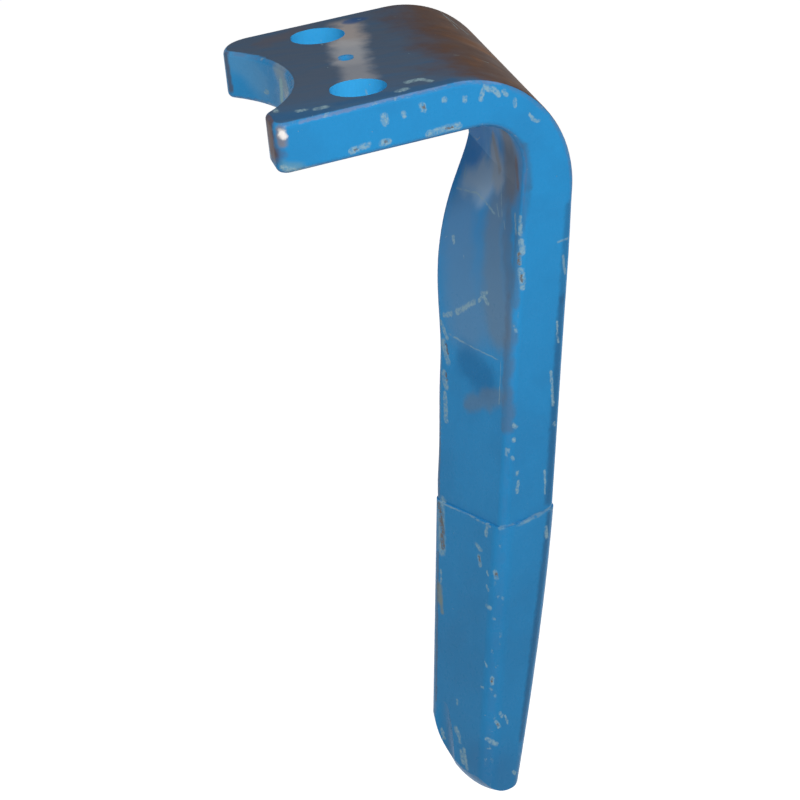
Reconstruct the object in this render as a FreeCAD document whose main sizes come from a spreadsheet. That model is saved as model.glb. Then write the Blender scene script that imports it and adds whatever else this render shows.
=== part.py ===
import FreeCAD, Part
import Sketcher
import math
import os

# Power harrow tine: one steel forging, so one solid.
# It is a flat flange with two bolt holes, a bend whose line runs across the
# flange parallel to the holes, and a leg that leans back under the flange,
# narrows and twists on its way down to a ledge and a tapered blade.
#
# Frame: the origin is midway between the two bolt holes, on the top face that
# seats under the rotor.  +Z is up, out of that face.  +Y runs through the two
# hole centres.  +X runs from the notched end of the flange towards the bend.
# "Near" is the -Y side, "far" is the +Y side.  "Inner" faces of the leg look
# back under the flange (-X), "outer" faces look away from it (+X).

Vector = FreeCAD.Vector
doc = FreeCAD.newDocument("harrow_tine")

# Driving sizes, in millimetres and degrees
sheet = doc.addObject("Spreadsheet::Sheet", "sizes")
SIZES = {
    # flange
    "plate_thickness": 18.3,
    "plate_width": 106.5,
    "side_angle": 12.3,
    "end_distance": 35.5,
    "hole_diameter": 20.5,
    "hole_spacing": 70.0,
    "near_horn_land": 16.7,
    "notch_depth": 16.0,
    "far_horn_land": 12.3,
    "near_horn_radius": 4.0,
    "far_horn_radius": 14.0,
    "horn_tip_radius": 3.2,
    "edge_radius": 2.2,
    "dimple_diameter": 6.0,
    "dimple_depth": 1.2,
    "dimple_x": 3.5,
    "dimple_y": 1.8,
    # bend
    "bend_distance": 38.5,
    "bend_radius": 17.0,
    "crown_radius": 43.0,
    "lean_angle": 9.3,
    "scoop_depth": 29.0,
    "scoop_radius": 60.0,
    "scoop_slope": 39.0,
    "scoop_corner_radius": 3.5,
    # leg
    "leg_thickness_top": 20.0,
    "leg_thickness_low": 25.7,
    "leg_width_top": 47.7,
    "leg_width_low": 41.0,
    "leg_twist": 24.6,
    "leg_edge_radius": 3.5,
    "ledge_depth": 171.8,
    "ledge_back": 34.0,
    "ledge_side": 50.3,
    # blade below the ledge
    "ledge_step": 1.1,
    "blade_length": 107.9,
    "blade_tip_thickness": 19.4,
    "blade_tip_width": 36.3,
    "blade_back": 17.6,
    "blade_side": 5.6,
    "blade_edge_radius": 6.0,
    "tip_radius": 32.5,
    "tip_reach": 41.5,
    "tip_rim_round": 11.5,
    "tip_low_spot": 10.7,
    # how far the outlines of cut-away waste reach past the steel
    "waste_margin": 30.0,
}
for row, (word, value) in enumerate(SIZES.items(), start=1):
    sheet.set("A%d" % row, word)
    sheet.set("B%d" % row, str(value))
    sheet.setAlias("B%d" % row, word)
doc.recompute()


def size(word):
    """The value of one cell of the sheet."""
    return float(sheet.get(word))


body = doc.addObject("PartDesign::Body", "tine")
body.Label = "tine"


def plane(role):
    """One of the body's own origin planes."""
    for item in body.Origin.OriginFeatures:
        if item.Role == role:
            return item


def new_sketch(name, role):
    """An empty sketch lying flat on an origin plane."""
    sketch = body.newObject("Sketcher::SketchObject", name)
    sketch.AttachmentSupport = [(plane(role), "")]
    sketch.MapMode = "FlatFace"
    return sketch


def add_lines(sketch, points):
    """A closed chain of lines with joined ends; returns the first line's number."""
    first = sketch.GeometryCount
    count = len(points)
    for i in range(count):
        start = Vector(points[i][0], points[i][1], 0)
        end = Vector(points[(i + 1) % count][0], points[(i + 1) % count][1], 0)
        sketch.addGeometry(Part.LineSegment(start, end), False)
    for i in range(count):
        join(sketch, first + i, 2, first + (i + 1) % count, 1)
    return first


def join(sketch, line_a, end_a, line_b, end_b):
    """Hold two ends together."""
    sketch.addConstraint(Sketcher.Constraint("Coincident", line_a, end_a, line_b, end_b))


def smooth_join(sketch, line_a, end_a, line_b, end_b):
    """Hold two ends together with no corner between them."""
    sketch.addConstraint(Sketcher.Constraint("Tangent", line_a, end_a, line_b, end_b))


def rule(sketch, kind, *items):
    """A constraint without a size."""
    sketch.addConstraint(Sketcher.Constraint(kind, *items))


def measure(sketch, name, formula, kind, *items):
    """A constraint whose size follows the sheet through a formula."""
    number = sketch.addConstraint(Sketcher.Constraint(kind, *items))
    sketch.renameConstraint(number, name)
    sketch.setExpression("Constraints." + name, formula)


# Side view of the flange and the bend, seen along the line of the bend.
# The top is flat, the crown arc is wider than the inside arc, and the end of
# the bend is square to the leg, which leans back by lean_angle.
thick = size("plate_thickness")
inner = size("bend_radius")
crown = size("crown_radius")
leg_top = size("leg_thickness_top")
lean = math.radians(size("lean_angle"))
out = Vector(math.cos(lean), -math.sin(lean), 0)
centre = Vector(size("bend_distance"), -thick - inner, 0)
crown_x = (out.dot(centre) + inner + leg_top - crown - math.sin(lean) * crown) / math.cos(lean)
crown_centre = Vector(crown_x, -crown, 0)
left = -size("end_distance") - size("waste_margin") / 2
flat_circle = Vector(0, 0, 1)
bend_top = Vector(crown_x, 0, 0)
bend_under = Vector(centre.x, -thick, 0)
bend_inside = centre + out * inner
leg_outside = crown_centre + out * crown
leg_inside = leg_outside - out * leg_top
side_view = new_sketch("side_view", "XZ_Plane")
side_view.addGeometry([
    Part.LineSegment(Vector(left, 0, 0), bend_top),
    Part.ArcOfCircle(Part.Circle(crown_centre, flat_circle, crown), -lean, math.pi / 2),
    Part.LineSegment(leg_outside, leg_inside),
    Part.LineSegment(leg_inside, bend_inside),
    Part.ArcOfCircle(Part.Circle(centre, flat_circle, inner), -lean, math.pi / 2),
    Part.LineSegment(bend_under, Vector(left, -thick, 0)),
    Part.LineSegment(Vector(left, -thick, 0), Vector(left, 0, 0)),
], False)
join(side_view, 1, 1, 2, 1)
join(side_view, 2, 2, 3, 1)
join(side_view, 5, 2, 6, 1)
join(side_view, 6, 2, 0, 1)
smooth_join(side_view, 0, 2, 1, 2)
smooth_join(side_view, 3, 2, 4, 1)
smooth_join(side_view, 4, 2, 5, 1)
rule(side_view, "Horizontal", 0)
rule(side_view, "Horizontal", 5)
rule(side_view, "Vertical", 6)
rule(side_view, "PointOnObject", 0, 1, -1)
rule(side_view, "PointOnObject", 1, 3, 2)
rule(side_view, "Perpendicular", 2, 3)
measure(side_view, "blank_end", "sizes.end_distance + sizes.waste_margin / 2",
        "DistanceX", 0, 1, -1, 1, -left)
measure(side_view, "thickness", "sizes.plate_thickness", "DistanceY", 6, thick)
measure(side_view, "bend_at", "sizes.bend_distance", "DistanceX", -1, 1, 4, 3, centre.x)
measure(side_view, "inside_bend", "sizes.bend_radius", "Radius", 4, inner)
measure(side_view, "outside_bend", "sizes.crown_radius", "Radius", 1, crown)
measure(side_view, "leg_top", "sizes.leg_thickness_top", "Distance", 2, leg_top)
measure(side_view, "lean", "(180 - sizes.lean_angle) * 1 deg", "Angle", 2, math.pi - lean)

bent_plate = body.newObject("PartDesign::Pad", "bent_plate")
bent_plate.Profile = side_view
bent_plate.SideType = "Symmetric"
bent_plate.setExpression("Length", "sizes.plate_width * 2.4")
doc.recompute()

# Plan view: the two long sides run at side_angle to the bend's own square, so
# the flange is a parallelogram; its free end is a wide arc between two horns.
side = math.radians(size("side_angle"))
half = size("plate_width") / 2
end = size("end_distance")


def side_line(x, sign):
    """Y of the near (-1) or far (+1) long side at a given X."""
    return x * math.tan(side) + sign * half / math.cos(side)


margin = size("waste_margin")
right = centre.x + inner + thick + margin
reach = half * 3
near_tip_y = side_line(-end, -1) + size("near_horn_land")
far_tip_y = side_line(-end, 1) - size("far_horn_land")
span = (far_tip_y - near_tip_y) / 2
depth = size("notch_depth")
arc_radius = (span ** 2 + depth ** 2) / (2 * depth)
arc_centre = Vector(-end + depth - arc_radius, (near_tip_y + far_tip_y) / 2, 0)
chord = math.asin(span / arc_radius)
plan_view = new_sketch("plan_view", "XY_Plane")
waste = add_lines(plan_view, [
    (-end - margin, -reach),
    (right + margin, -reach),
    (right + margin, reach),
    (-end - margin, reach),
])
rule(plan_view, "Horizontal", waste)
rule(plan_view, "Vertical", waste + 1)
rule(plan_view, "Horizontal", waste + 2)
rule(plan_view, "Vertical", waste + 3)
measure(plan_view, "waste_left", "sizes.end_distance + sizes.waste_margin",
        "DistanceX", 0, 1, -1, 1, end + margin)
measure(plan_view, "waste_right",
        "sizes.bend_distance + sizes.bend_radius + sizes.plate_thickness"
        " + 2 * sizes.waste_margin", "DistanceX", -1, 1, 1, 1, right + margin)
measure(plan_view, "waste_near", "sizes.plate_width * 1.5", "DistanceY", 0, 1, -1, 1, reach)
measure(plan_view, "waste_far", "sizes.plate_width * 1.5", "DistanceY", -1, 1, 2, 1, reach)

near_end = Vector(-end, side_line(-end, -1), 0)
far_end = Vector(-end, side_line(-end, 1), 0)
near_tip = Vector(-end, near_tip_y, 0)
far_tip = Vector(-end, far_tip_y, 0)
near_right = Vector(right, side_line(right, -1), 0)
far_right = Vector(right, side_line(right, 1), 0)
notch_circle = Part.Circle(arc_centre, flat_circle, arc_radius)
first = plan_view.GeometryCount
plan_view.addGeometry([
    Part.LineSegment(near_end, near_right),
    Part.LineSegment(near_right, far_right),
    Part.LineSegment(far_end, far_right),
    Part.LineSegment(far_end, far_tip),
    Part.ArcOfCircle(notch_circle, -chord, chord),
    Part.LineSegment(near_tip, near_end),
], False)
near_side, cut_end, far_side, far_horn, notch, near_horn = range(first, first + 6)
join(plan_view, near_side, 2, cut_end, 1)
join(plan_view, cut_end, 2, far_side, 2)
join(plan_view, far_side, 1, far_horn, 1)
join(plan_view, far_horn, 2, notch, 2)
join(plan_view, notch, 1, near_horn, 1)
join(plan_view, near_horn, 2, near_side, 1)
rule(plan_view, "Vertical", cut_end)
rule(plan_view, "Vertical", far_horn)
rule(plan_view, "Vertical", near_horn)
rule(plan_view, "Vertical", far_horn, 1, near_horn, 1)
rule(plan_view, "Parallel", far_side, near_side)
measure(plan_view, "side_skew", "sizes.side_angle * 1 deg", "Angle", near_side, side)
measure(plan_view, "near_half", "sizes.plate_width / 2", "Distance", -1, 1, near_side, half)
measure(plan_view, "far_half", "sizes.plate_width / 2", "Distance", -1, 1, far_side, half)
measure(plan_view, "horn_end", "sizes.end_distance", "DistanceX", near_horn, 1, -1, 1, end)
measure(plan_view, "cut_at",
        "sizes.bend_distance + sizes.bend_radius + sizes.plate_thickness"
        " + sizes.waste_margin", "DistanceX", -1, 1, near_side, 2, right)
measure(plan_view, "near_land", "sizes.near_horn_land", "DistanceY",
        near_horn, 2, near_horn, 1, size("near_horn_land"))
measure(plan_view, "far_land", "sizes.far_horn_land", "DistanceY",
        far_horn, 2, far_horn, 1, size("far_horn_land"))
span_rule = ("(sizes.plate_width / cos(sizes.side_angle * 1 deg)"
             " - sizes.near_horn_land - sizes.far_horn_land) / 2")
measure(plan_view, "notch_round",
        "((%s)^2 + sizes.notch_depth^2) / (2 * sizes.notch_depth)" % span_rule,
        "Radius", notch, arc_radius)

trimmed = body.newObject("PartDesign::Pocket", "trim_to_plan")
trimmed.Profile = plan_view
trimmed.Type = "ThroughAll"
trimmed.SideType = "Symmetric"
doc.recompute()


def edges_where(feature, test):
    """Names of the feature's edges that pass a test."""
    names = []
    for number, edge in enumerate(feature.Shape.Edges, start=1):
        if test(edge):
            names.append("Edge%d" % number)
    return names


def upright_at(x, y):
    """Test for an upright edge at a place in the plan."""
    def test(edge):
        box = edge.BoundBox
        upright = box.ZLength > 0.9 * size("plate_thickness") and box.XLength < 0.01
        return upright and abs(box.XMin - x) < 0.01 and abs(box.YMin - y) < 0.01
    return test


def round_off(name, base, edge_names, cell):
    """A fillet on chosen edges, its radius taken from the sheet."""
    feature = body.newObject("PartDesign::Fillet", name)
    feature.Base = (base, edge_names)
    feature.setExpression("Radius", "sizes." + cell)
    doc.recompute()
    return feature


# The horns: the near one has a tight corner, the far one a generous one
step = round_off("near_horn_corner", trimmed,
                 edges_where(trimmed, upright_at(near_end.x, near_end.y)), "near_horn_radius")
step = round_off("far_horn_corner", step,
                 edges_where(step, upright_at(far_end.x, far_end.y)), "far_horn_radius")
tips = edges_where(step, upright_at(near_tip.x, near_tip.y))
tips += edges_where(step, upright_at(far_tip.x, far_tip.y))
step = round_off("horn_tips", step, tips, "horn_tip_radius")


# The far side of the bend is scooped away, so that the wide flange runs down
# into a narrower neck.  The scoop is a round cut, square to the leg, that
# reaches scoop_depth in from the far side at the end of the bend.
along_bend = Vector(0, 1, 0)
leg_up = Vector(math.sin(lean), 0, math.cos(lean))
leg_out = Vector(math.cos(lean), 0, -math.sin(lean))
start = Vector(leg_inside.x, side_line(leg_inside.x, -1), leg_inside.y)
scoop = new_sketch("far_scoop", "XY_Plane")
scoop.AttachmentOffset = FreeCAD.Placement(start, FreeCAD.Rotation(along_bend, leg_up, leg_out))
slope = math.radians(size("scoop_slope"))
scoop_radius = size("scoop_radius")
neck = size("plate_width") / math.cos(side) - size("scoop_depth")
neck_rule = "sizes.plate_width / cos(sizes.side_angle * 1 deg) - sizes.scoop_depth"
scoop_across = neck + scoop_radius * math.cos(slope)
scoop_below = scoop_radius * math.sin(slope)
scoop_centre = Vector(scoop_across, -scoop_below, 0)
scoop.addGeometry(Part.Circle(scoop_centre, flat_circle, scoop_radius), False)
measure(scoop, "round", "sizes.scoop_radius", "Radius", 0, scoop_radius)
measure(scoop, "across", neck_rule + " + sizes.scoop_radius * cos(sizes.scoop_slope * 1 deg)",
        "DistanceX", -1, 1, 0, 3, scoop_across)
measure(scoop, "below", "sizes.scoop_radius * sin(sizes.scoop_slope * 1 deg)",
        "DistanceY", 0, 3, -1, 1, scoop_below)
scooped = body.newObject("PartDesign::Pocket", "far_side_scoop")
scooped.Profile = scoop
scooped.SideType = "Symmetric"
scooped.setExpression("Length", "sizes.leg_thickness_top * 3")
doc.recompute()


def scoop_corner(edge):
    """Test for the corner where the scoop meets the far side."""
    box = edge.BoundBox
    if box.YMin < 0 or box.ZMax > -thick:
        return False
    middle = edge.valueAt((edge.FirstParameter + edge.LastParameter) / 2)
    on_side = abs(middle.y - side_line(middle.x, 1)) < 0.05
    gap = middle - start
    spot = Vector(gap.dot(along_bend), gap.dot(leg_up), 0)
    return on_side and abs((spot - scoop_centre).Length - scoop_radius) < 0.05


corner = edges_where(scooped, scoop_corner)
step = round_off("scoop_corner", scooped, corner, "scoop_corner_radius")


def outline_edge(z_level):
    """Test for the near long side's edge at a height."""
    def test(edge):
        box = edge.BoundBox
        flat = box.ZLength < 0.01 and abs(box.ZMin - z_level) < 0.01
        return flat and box.XLength > 30 and box.YMax < 0
    return test


# Forged edges: one rounding runs round the whole outline, above and below,
# and on round the bend
tops = edges_where(step, outline_edge(0.0))
unders = edges_where(step, outline_edge(-thick))
step = round_off("forged_edges", step, tops + unders, "edge_radius")

# The leg.  It starts from the end face of the bend and ends at the ledge.
# It narrows from the scooped neck, quickly at first.  Its faces twist by
# leg_twist in its upper half, soonest near the bend, and it thickens from
# leg_thickness_top to
# leg_thickness_low.  Each station is a four-sided section with rounded
# corners, and "along" runs from 0 at the bend to 1 at the ledge.
down = Vector(-math.sin(lean), 0, -math.cos(lean))
bend_face = None
for number, face in enumerate(step.Shape.Faces, start=1):
    level = face.normalAt(0, 0)
    if abs(level.dot(down)) > 0.9999 and face.CenterOfMass.z < -thick:
        bend_face = "Face%d" % number

# Where the sections stand, where the twist and the neck's extra width end, and
# how sharply each of them starts
STATIONS = [0.05, 0.11, 0.18, 0.26, 0.34, 0.42, 0.51, 0.62, 0.74, 0.87, 1.0]
TWIST_END = 0.47
TWIST_LEAD = 0.72
TAPER_END = 0.5
TAPER_CURVE = 1.6
finish = Vector(size("ledge_back"), -size("ledge_side"), -size("ledge_depth"))
along_side = Vector(down.x, down.x * math.tan(side), down.z)


def ease(value):
    """0 to 1 with a level start and finish."""
    value = min(max(value, 0.0), 1.0)
    return value * value * (3 - 2 * value)


def far_extra(along):
    """Share of the neck's extra width that the far side still carries."""
    return max(0.0, 1 - along / TAPER_END) ** TAPER_CURVE


def leg_corner(along):
    """The sharp near inner corner of the leg at a station."""
    run = finish - start
    bow = (along_side * run.Length - run) * (along * (1 - along) ** 2)
    return start + run * along + bow


def section(name, corner, turn, tip, values, formulas):
    """A four-sided section with rounded corners.  Its near inner corner is at
    the sketch's origin and its inner side lies up the sketch's Y axis.  The
    near side may slant; the far side is square."""
    deep, wide, slant, round_r = values
    sketch = new_sketch(name, "XY_Plane")
    spin = FreeCAD.Rotation(Vector(0, 0, 1), turn).multiply(
        FreeCAD.Rotation(Vector(0, 1, 0), tip))
    sketch.AttachmentOffset = FreeCAD.Placement(corner, spin)
    rise = deep * math.tan(math.radians(slant))
    square = [Vector(0, 0, 0), Vector(deep, rise, 0),
              Vector(deep, wide, 0), Vector(0, wide, 0)]
    corners = []
    for i in range(4):
        here = square[i]
        into = (square[i - 1] - here).normalize()
        away = (square[(i + 1) % 4] - here).normalize()
        opening = into.getAngle(away) / 2
        back = round_r / math.tan(opening)
        middle = here + (into + away).normalize() * (round_r / math.sin(opening))
        top = middle + (here - middle).normalize() * round_r
        corners.append((here + into * back, top, here + away * back))
    for i in range(4):
        sketch.addGeometry(Part.LineSegment(corners[i][2], corners[(i + 1) % 4][0]), False)
    for i in range(4):
        before, top, after = corners[(i + 1) % 4]
        sketch.addGeometry(Part.Arc(before, top, after), False)
    for i in range(4):
        smooth_join(sketch, i, 2, 4 + i, 1)
        smooth_join(sketch, 4 + i, 2, (i + 1) % 4, 1)
    for i in range(5, 8):
        rule(sketch, "Equal", 4, i)
    rule(sketch, "PointOnObject", 3, 1, -2)
    rule(sketch, "PointOnObject", 3, 2, -2)
    rule(sketch, "PointOnObject", -1, 1, 0)
    rule(sketch, "Vertical", 1)
    rule(sketch, "Horizontal", 2)
    measure(sketch, "deep", formulas[0], "DistanceX", -1, 1, 1, 1, deep)
    measure(sketch, "wide", formulas[1], "DistanceY", -1, 1, 2, 1, wide)
    measure(sketch, "slant", formulas[2], "Angle", 0, math.radians(slant))
    measure(sketch, "corner", formulas[3], "Radius", 4, round_r)
    return sketch


def between(first_cell, last_cell, share):
    """A formula that runs from one cell to another."""
    return "(sizes.%s * %.6f + sizes.%s * %.6f)" % (first_cell, 1 - share, last_cell, share)


def mix(first_cell, last_cell, share):
    """The value of the same formula."""
    return size(first_cell) * (1 - share) + size(last_cell) * share


leg_sections = []
for number, along in enumerate(STATIONS, start=1):
    twist = ease((along / TWIST_END) ** TWIST_LEAD)
    extra = far_extra(along)
    wide = mix("leg_width_top", "leg_width_low", along)
    wide += (neck - size("leg_width_top")) * extra
    slant_rule = "sizes.side_angle * %.6f * 1 deg" % (1 - twist)
    wide_rule = between("leg_width_top", "leg_width_low", along)
    wide_rule += " + (%s - sizes.leg_width_top) * %.6f" % (neck_rule, extra)
    sketch = section(
        "leg_section_%d" % number, leg_corner(along),
        size("leg_twist") * twist, size("lean_angle") * (1 - ease(along)),
        (mix("leg_thickness_top", "leg_thickness_low", twist), wide,
         size("side_angle") * (1 - twist), mix("edge_radius", "leg_edge_radius", twist)),
        (between("leg_thickness_top", "leg_thickness_low", twist), wide_rule,
         slant_rule, between("edge_radius", "leg_edge_radius", twist)))
    leg_sections.append(sketch)
doc.recompute()

leg = body.newObject("PartDesign::AdditiveLoft", "leg")
leg.Profile = (step, [bend_face])
leg.Sections = leg_sections
leg.Ruled = False
doc.recompute()

# The blade below the ledge stands proud of the leg all round by ledge_step.
# Its outer face curves in towards the tip, so it gets thinner faster low down.
BLADE_STATIONS = [0.0, 0.25, 0.5, 0.75, 1.05]
turn = math.radians(size("leg_twist"))
deep_way = Vector(math.cos(turn), math.sin(turn), 0)
wide_way = Vector(-math.sin(turn), math.cos(turn), 0)
blade_run = Vector(-size("blade_back"), -size("blade_side"), -size("blade_length"))
blade_start = finish - (deep_way + wide_way) * size("ledge_step")
blade_sections = []
for number, along in enumerate(BLADE_STATIONS, start=1):
    thin = along ** TAPER_CURVE
    deep = mix("leg_thickness_low", "blade_tip_thickness", thin)
    deep += 2 * size("ledge_step") * (1 - thin)
    wide = mix("leg_width_low", "blade_tip_width", along)
    wide += 2 * size("ledge_step") * (1 - along)
    sketch = section(
        "blade_section_%d" % number, blade_start + blade_run * along,
        size("leg_twist"), 0.0, (deep, wide, 0.0, size("blade_edge_radius")),
        (between("leg_thickness_low", "blade_tip_thickness", thin)
         + " + 2 * sizes.ledge_step * %.6f" % (1 - thin),
         between("leg_width_low", "blade_tip_width", along)
         + " + 2 * sizes.ledge_step * %.6f" % (1 - along),
         "0 deg", "sizes.blade_edge_radius"))
    blade_sections.append(sketch)
doc.recompute()

blade = body.newObject("PartDesign::AdditiveLoft", "blade")
blade.Profile = blade_sections[0]
blade.Sections = blade_sections[1:]
blade.Ruled = False
doc.recompute()

# The rounded tip.  Seen square to the broad faces it is one big arc that
# comes down from the far edge, and the arc's rim is itself round across the
# thickness.  So the waste is a ring, turned half round about the arc's centre.
down_way = (blade_run - wide_way * blade_run.dot(wide_way)).normalize()
thick_way = down_way.cross(wide_way)
tip_centre = (blade_start + blade_run - down_way * size("tip_radius")
              + wide_way * (size("tip_reach") - size("tip_radius")))
tip_view = new_sketch("tip_view", "XY_Plane")
tip_view.AttachmentOffset = FreeCAD.Placement(
    tip_centre, FreeCAD.Rotation(thick_way, down_way, wide_way))
rim_round = size("tip_rim_round")
low_spot = size("tip_low_spot")
base_line = size("tip_radius") - rim_round
left, right = low_spot - rim_round, low_spot + rim_round
top = size("tip_radius") + margin
tip_view.addGeometry([
    Part.ArcOfCircle(Part.Circle(Vector(low_spot, base_line, 0), flat_circle, rim_round),
                     0, math.pi),
    Part.LineSegment(Vector(left, base_line, 0), Vector(left - margin, base_line, 0)),
    Part.LineSegment(Vector(left - margin, base_line, 0), Vector(left - margin, top, 0)),
    Part.LineSegment(Vector(left - margin, top, 0), Vector(right + margin, top, 0)),
    Part.LineSegment(Vector(right + margin, top, 0), Vector(right + margin, base_line, 0)),
    Part.LineSegment(Vector(right + margin, base_line, 0), Vector(right, base_line, 0)),
], False)
for i in range(6):
    join(tip_view, i, 2, (i + 1) % 6, 1)
for i in (1, 3, 5):
    rule(tip_view, "Horizontal", i)
for i in (2, 4):
    rule(tip_view, "Vertical", i)
rule(tip_view, "Horizontal", 0, 1, 0, 3)
rule(tip_view, "Horizontal", 0, 2, 0, 3)
measure(tip_view, "rim_round", "sizes.tip_rim_round", "Radius", 0, rim_round)
measure(tip_view, "low_spot", "sizes.tip_low_spot", "DistanceX", -1, 1, 0, 3, low_spot)
measure(tip_view, "lift", "sizes.tip_radius - sizes.tip_rim_round",
        "DistanceY", -1, 1, 0, 3, base_line)
measure(tip_view, "waste_left", "sizes.waste_margin", "DistanceX", 1, 2, 1, 1, margin)
measure(tip_view, "waste_right", "sizes.waste_margin", "DistanceX", 5, 2, 5, 1, margin)
measure(tip_view, "waste_out", "sizes.tip_radius + sizes.waste_margin",
        "DistanceY", -1, 1, 3, 1, top)
tip_cut = body.newObject("PartDesign::Groove", "rounded_tip")
tip_cut.Profile = tip_view
tip_cut.ReferenceAxis = (tip_view, ["H_Axis"])
tip_cut.Angle = 180
tip_cut.Midplane = True
doc.recompute()

# Two bolt holes right through the flange
hole_view = new_sketch("bolt_hole_view", "XY_Plane")
hole_r = size("hole_diameter") / 2
for sign in (-1, 1):
    spot = Vector(0, sign * size("hole_spacing") / 2, 0)
    hole_view.addGeometry(Part.Circle(spot, flat_circle, hole_r), False)
rule(hole_view, "PointOnObject", 0, 3, -2)
rule(hole_view, "Symmetric", 0, 3, 1, 3, -1, 1)
rule(hole_view, "Equal", 0, 1)
measure(hole_view, "spacing", "sizes.hole_spacing", "DistanceY", 0, 3, 1, 3, 2 * spot.y)
measure(hole_view, "hole", "sizes.hole_diameter", "Diameter", 0, 2 * hole_r)
doc.recompute()
bolt_holes = body.newObject("PartDesign::Hole", "bolt_holes")
bolt_holes.Profile = hole_view
bolt_holes.DepthType = "ThroughAll"
bolt_holes.setExpression("Diameter", "sizes.hole_diameter")
doc.recompute()

# A small round dimple in the top face, left by a ball
dimple_view = new_sketch("dimple_view", "XZ_Plane")
dimple_view.AttachmentOffset = FreeCAD.Placement(
    Vector(size("dimple_x"), 0, -size("dimple_y")), FreeCAD.Rotation())
deep = size("dimple_depth")
ball = ((size("dimple_diameter") / 2) ** 2 + deep ** 2) / (2 * deep)
ball_centre = Vector(0, ball - deep, 0)
dimple_view.addGeometry([
    Part.ArcOfCircle(Part.Circle(ball_centre, flat_circle, ball), -math.pi / 2, math.pi / 2),
    Part.LineSegment(Vector(0, 2 * ball - deep, 0), Vector(0, -deep, 0)),
], False)
join(dimple_view, 0, 2, 1, 1)
join(dimple_view, 1, 2, 0, 1)
rule(dimple_view, "PointOnObject", 0, 3, -2)
rule(dimple_view, "PointOnObject", 1, 1, -2)
rule(dimple_view, "PointOnObject", 1, 2, -2)
ball_rule = "((sizes.dimple_diameter / 2)^2 + sizes.dimple_depth^2) / (2 * sizes.dimple_depth)"
measure(dimple_view, "ball", ball_rule, "Radius", 0, ball)
measure(dimple_view, "lift", ball_rule + " - sizes.dimple_depth",
        "DistanceY", -1, 1, 0, 3, ball - deep)
dimple = body.newObject("PartDesign::Groove", "dimple")
dimple.Profile = dimple_view
dimple.ReferenceAxis = (dimple_view, ["V_Axis"])
dimple.Angle = 360
doc.recompute()

# Everything must have recomputed cleanly before the solid is written
for item in doc.Objects:
    state = [word for word in item.State if word in ("Invalid", "Error")]
    if state:
        raise RuntimeError("%s failed: %s" % (item.Name, state))
    if item.TypeId == "Sketcher::SketchObject" and not item.FullyConstrained:
        raise RuntimeError("%s is not fully constrained" % item.Name)
solid = body.Shape
if solid.isNull() or not solid.isValid() or len(solid.Solids) != 1:
    raise RuntimeError("the tine is not one valid solid")
STEEL_DENSITY = 7.85e-6
box = solid.optimalBoundingBox()
print("tine %.1f x %.1f x %.1f mm" % (box.XLength, box.YLength, box.ZLength))
print("faces %d, volume %.0f mm3, steel mass %.2f kg"
      % (len(solid.Faces), solid.Volume, solid.Volume * STEEL_DENSITY))

os.makedirs("parts", exist_ok=True)
solid.exportStep("parts/tine.step")
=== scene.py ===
# %% [markdown]
# # A power harrow tine, dressed to match its photograph
#
# A power harrow stirs the soil with pairs of these tines, bolted by the flange
# under a turning rotor.  Each one is a single steel forging with a coat of blue
# enamel over it.  The solid itself comes ready from the CAD frame, so this
# lesson is about everything else: where the photographer stood, how enamel,
# worn steel, chips and scratches are written as a material, and how a plain
# studio is lit around them.
#
# The first step loads the frame and keeps its box, because nothing that is
# added later may make the tine bigger than its solid.

# %% Load the frame
import math

import bpy
from mathutils import Matrix, Vector
from mathutils.bvhtree import BVHTree


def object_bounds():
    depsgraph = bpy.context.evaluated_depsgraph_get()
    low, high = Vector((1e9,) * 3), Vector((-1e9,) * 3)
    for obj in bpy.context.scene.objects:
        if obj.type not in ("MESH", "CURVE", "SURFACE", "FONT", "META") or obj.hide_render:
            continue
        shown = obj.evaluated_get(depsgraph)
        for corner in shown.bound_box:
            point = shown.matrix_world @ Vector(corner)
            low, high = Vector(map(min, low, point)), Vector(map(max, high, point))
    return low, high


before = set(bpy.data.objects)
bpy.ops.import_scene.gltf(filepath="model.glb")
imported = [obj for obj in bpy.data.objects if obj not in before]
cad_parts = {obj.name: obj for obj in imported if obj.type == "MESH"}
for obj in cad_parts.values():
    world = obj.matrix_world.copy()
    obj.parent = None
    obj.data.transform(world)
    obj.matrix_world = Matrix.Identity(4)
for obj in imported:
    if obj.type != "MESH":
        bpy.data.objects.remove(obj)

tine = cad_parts["tine"]
cad_low, cad_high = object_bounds()
print("the tine's box, in millimetres:",
      [round(1000 * (high - low), 1) for low, high in zip(cad_low, cad_high)])

# %% [markdown]
# ## The camera
#
# The photograph was taken from in front of the near side and a little above
# the flange, with a long lens.  One could push a camera about until the
# picture looks right, but the two bolt holes, the flange's corners and its
# known thickness pin the view down, so the place, the three angles and the
# lens are written here as numbers.  A camera looks along its own -Z, so its
# matrix has the columns right, up and backward.

# %% The photographer's place and lens
PHOTO_PIXELS = 800
SENSOR_WIDTH = 36.0
CAMERA_PLACE = Vector((-0.18576, -1.02344, 0.31349))
CAMERA_AZIMUTH = math.radians(-10.835)
CAMERA_ELEVATION = math.radians(23.303)
CAMERA_ROLL = math.radians(-5.924)
FOCAL_PIXELS = 3001.5
NEAREST_SEEN = 0.05

forward = Vector((-math.sin(CAMERA_AZIMUTH) * math.cos(CAMERA_ELEVATION),
                  math.cos(CAMERA_AZIMUTH) * math.cos(CAMERA_ELEVATION),
                  -math.sin(CAMERA_ELEVATION)))
level_right = Vector((math.cos(CAMERA_AZIMUTH), math.sin(CAMERA_AZIMUTH), 0))
level_up = level_right.cross(forward)
right = level_right * math.cos(CAMERA_ROLL) + level_up * math.sin(CAMERA_ROLL)
up = level_up * math.cos(CAMERA_ROLL) - level_right * math.sin(CAMERA_ROLL)

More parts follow.
